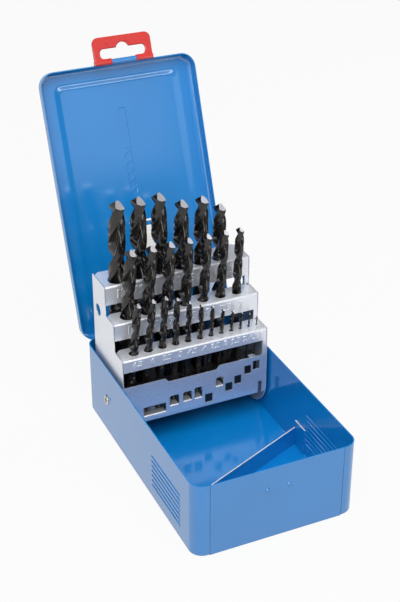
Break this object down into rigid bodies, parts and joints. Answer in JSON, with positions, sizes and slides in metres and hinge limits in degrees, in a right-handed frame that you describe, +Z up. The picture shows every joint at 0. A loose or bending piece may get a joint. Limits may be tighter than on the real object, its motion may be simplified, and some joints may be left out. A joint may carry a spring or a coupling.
{
  "type": "twist drill case",
  "caption": "Hinged sheet-steel twist drill case with a fold-up stepped rack of drills and a red hanger clip.",
  "frame": {"origin": "centre of the underside of the box", "axes": "+Z up, +X to the right seen from the front, -Y towards the front"},
  "size_m": [0.1254, 0.2848, 0.2675],
  "materials": {
    "blue_paint": "semi-gloss enamel",
    "grey_paint": "satin enamel",
    "red_plastic": "moulded",
    "black_oxide_steel": "black oxide",
    "plated_steel": "plated",
    "label_paper": "paper label"
  },
  "bodies": {
    "base": {"base_tray": "blue_paint", "base_front_panel": "blue_paint", "drill_retainer_plate": "blue_paint", "lid_hinge_pin": "plated_steel", "pivot_rivet_left": "plated_steel", "pivot_rivet_right": "plated_steel", "pivot_washer_left": "plated_steel", "pivot_washer_right": "plated_steel"},
    "lid": {"lid_shell": "blue_paint", "lid_label": "label_paper"},
    "clip": {"hanger_clip": "red_plastic", "clip_pin": "plated_steel"},
    "rack": {"rack_side_left": "grey_paint", "rack_side_right": "grey_paint", "rack_lower_shelf": "grey_paint", "rack_middle_shelf": "grey_paint", "rack_upper_shelf": "grey_paint", "rack_front_stop_plate": "grey_paint", "rack_middle_stop_plate": "grey_paint", "rack_rear_stop_shelf": "grey_paint"},
    "drill_6_5": {"drill_6_5": "black_oxide_steel"},
    "drill_6_0": {"drill_6_0": "black_oxide_steel"},
    "drill_5_5": {"drill_5_5": "black_oxide_steel"},
    "drill_5_0": {"drill_5_0": "black_oxide_steel"},
    "drill_4_5": {"drill_4_5": "black_oxide_steel"},
    "drill_4_0": {"drill_4_0": "black_oxide_steel"},
    "drill_3_5": {"drill_3_5": "black_oxide_steel"},
    "drill_3_0": {"drill_3_0": "black_oxide_steel"},
    "drill_2_5": {"drill_2_5": "black_oxide_steel"},
    "drill_2_0": {"drill_2_0": "black_oxide_steel"},
    "drill_1_5": {"drill_1_5": "black_oxide_steel"},
    "drill_1_0": {"drill_1_0": "black_oxide_steel"},
    "drill_10_0": {"drill_10_0": "black_oxide_steel"},
    "drill_9_5": {"drill_9_5": "black_oxide_steel"},
    "drill_9_0": {"drill_9_0": "black_oxide_steel"},
    "drill_8_5": {"drill_8_5": "black_oxide_steel"},
    "drill_8_0": {"drill_8_0": "black_oxide_steel"},
    "drill_7_5": {"drill_7_5": "black_oxide_steel"},
    "drill_7_0": {"drill_7_0": "black_oxide_steel"},
    "drill_13_0": {"drill_13_0": "black_oxide_steel"},
    "drill_12_5": {"drill_12_5": "black_oxide_steel"},
    "drill_12_0": {"drill_12_0": "black_oxide_steel"},
    "drill_11_5": {"drill_11_5": "black_oxide_steel"},
    "drill_11_0": {"drill_11_0": "black_oxide_steel"},
    "drill_10_5": {"drill_10_5": "black_oxide_steel"}
  },
  "joints": [
    {"name": "lid_hinge", "type": "hinge", "parent": "base", "child": "lid", "pos_m": [0, 0.1026, 0.0555], "axis": [-1, 0, 0], "range_deg": [-110.5, 0]},
    {"name": "rack_pivot", "type": "hinge", "parent": "base", "child": "rack", "pos_m": [0, 0.0585, 0.0295], "axis": [-1, 0, 0], "range_deg": [-90, 0]},
    {"name": "clip_hinge", "type": "hinge", "parent": "lid", "child": "clip", "pos_m": [0.0045, 0.17311, 0.24981], "axis": [-1, 0, 0], "range_deg": [-90, 85]},
    {"name": "drill_6_5_slide", "type": "slide", "parent": "rack", "child": "drill_6_5", "axis": [0.1045, 0, 0.9945], "range_m": [0, 0.065]},
    {"name": "drill_6_0_slide", "type": "slide", "parent": "rack", "child": "drill_6_0", "axis": [0.1045, 0, 0.9945], "range_m": [0, 0.056]},
    {"name": "drill_5_5_slide", "type": "slide", "parent": "rack", "child": "drill_5_5", "axis": [0.075, 0, 0.9972], "range_m": [0, 0.056]},
    {"name": "drill_5_0_slide", "type": "slide", "parent": "rack", "child": "drill_5_0", "axis": [0.0454, 0, 0.999], "range_m": [0, 0.052]},
    {"name": "drill_4_5_slide", "type": "slide", "parent": "rack", "child": "drill_4_5", "axis": [0.0419, 0, 0.9991], "range_m": [0, 0.052]},
    {"name": "drill_4_0_slide", "type": "slide", "parent": "rack", "child": "drill_4_0", "axis": [0.0523, 0, 0.9986], "range_m": [0, 0.052]},
    {"name": "drill_3_5_slide", "type": "slide", "parent": "rack", "child": "drill_3_5", "axis": [0.0628, 0, 0.998], "range_m": [0, 0.05]},
    {"name": "drill_3_0_slide", "type": "slide", "parent": "rack", "child": "drill_3_0", "axis": [0.075, 0, 0.9972], "range_m": [0, 0.046]},
    {"name": "drill_2_5_slide", "type": "slide", "parent": "rack", "child": "drill_2_5", "axis": [0.075, 0, 0.9972], "range_m": [0, 0.045]},
    {"name": "drill_2_0_slide", "type": "slide", "parent": "rack", "child": "drill_2_0", "axis": [0.0906, 0, 0.9959], "range_m": [0, 0.04]},
    {"name": "drill_1_5_slide", "type": "slide", "parent": "rack", "child": "drill_1_5", "axis": [0.0715, 0, 0.9974], "range_m": [0, 0.034]},
    {"name": "drill_1_0_slide", "type": "slide", "parent": "rack", "child": "drill_1_0", "axis": [0.0628, 0, 0.998], "range_m": [0, 0.031]},
    {"name": "drill_10_0_slide", "type": "slide", "parent": "rack", "child": "drill_10_0", "axis": [0.0802, 0, 0.9968], "range_m": [0, 0.084]},
    {"name": "drill_9_5_slide", "type": "slide", "parent": "rack", "child": "drill_9_5", "axis": [0.0802, 0, 0.9968], "range_m": [0, 0.076]},
    {"name": "drill_9_0_slide", "type": "slide", "parent": "rack", "child": "drill_9_0", "axis": [0.0593, 0, 0.9982], "range_m": [0, 0.076]},
    {"name": "drill_8_5_slide", "type": "slide", "parent": "rack", "child": "drill_8_5", "axis": [0.0506, 0, 0.9987], "range_m": [0, 0.068]},
    {"name": "drill_8_0_slide", "type": "slide", "parent": "rack", "child": "drill_8_0", "axis": [0.0645, 0, 0.9979], "range_m": [0, 0.068]},
    {"name": "drill_7_5_slide", "type": "slide", "parent": "rack", "child": "drill_7_5", "axis": [0.0628, 0, 0.998], "range_m": [0, 0.06]},
    {"name": "drill_7_0_slide", "type": "slide", "parent": "rack", "child": "drill_7_0", "axis": [0.0454, 0, 0.999], "range_m": [0, 0.06]},
    {"name": "drill_13_0_slide", "type": "slide", "parent": "rack", "child": "drill_13_0", "axis": [0.0314, 0, 0.9995], "range_m": [0, 0.093]},
    {"name": "drill_12_5_slide", "type": "slide", "parent": "rack", "child": "drill_12_5", "axis": [0.0105, 0, 0.9999], "range_m": [0, 0.093]},
    {"name": "drill_12_0_slide", "type": "slide", "parent": "rack", "child": "drill_12_0", "axis": [-0.007, 0, 1], "range_m": [0, 0.093]},
    {"name": "drill_11_5_slide", "type": "slide", "parent": "rack", "child": "drill_11_5", "axis": [0.0227, 0, 0.9997], "range_m": [0, 0.093]},
    {"name": "drill_11_0_slide", "type": "slide", "parent": "rack", "child": "drill_11_0", "axis": [0.0279, 0, 0.9996], "range_m": [0, 0.093]},
    {"name": "drill_10_5_slide", "type": "slide", "parent": "rack", "child": "drill_10_5", "axis": [0.0122, 0, 0.9999], "range_m": [0, 0.093]}
  ],
  "couplings": [
    {"joint": "rack_pivot", "follows": "lid_hinge", "ratio": 0.8144}
  ]
}
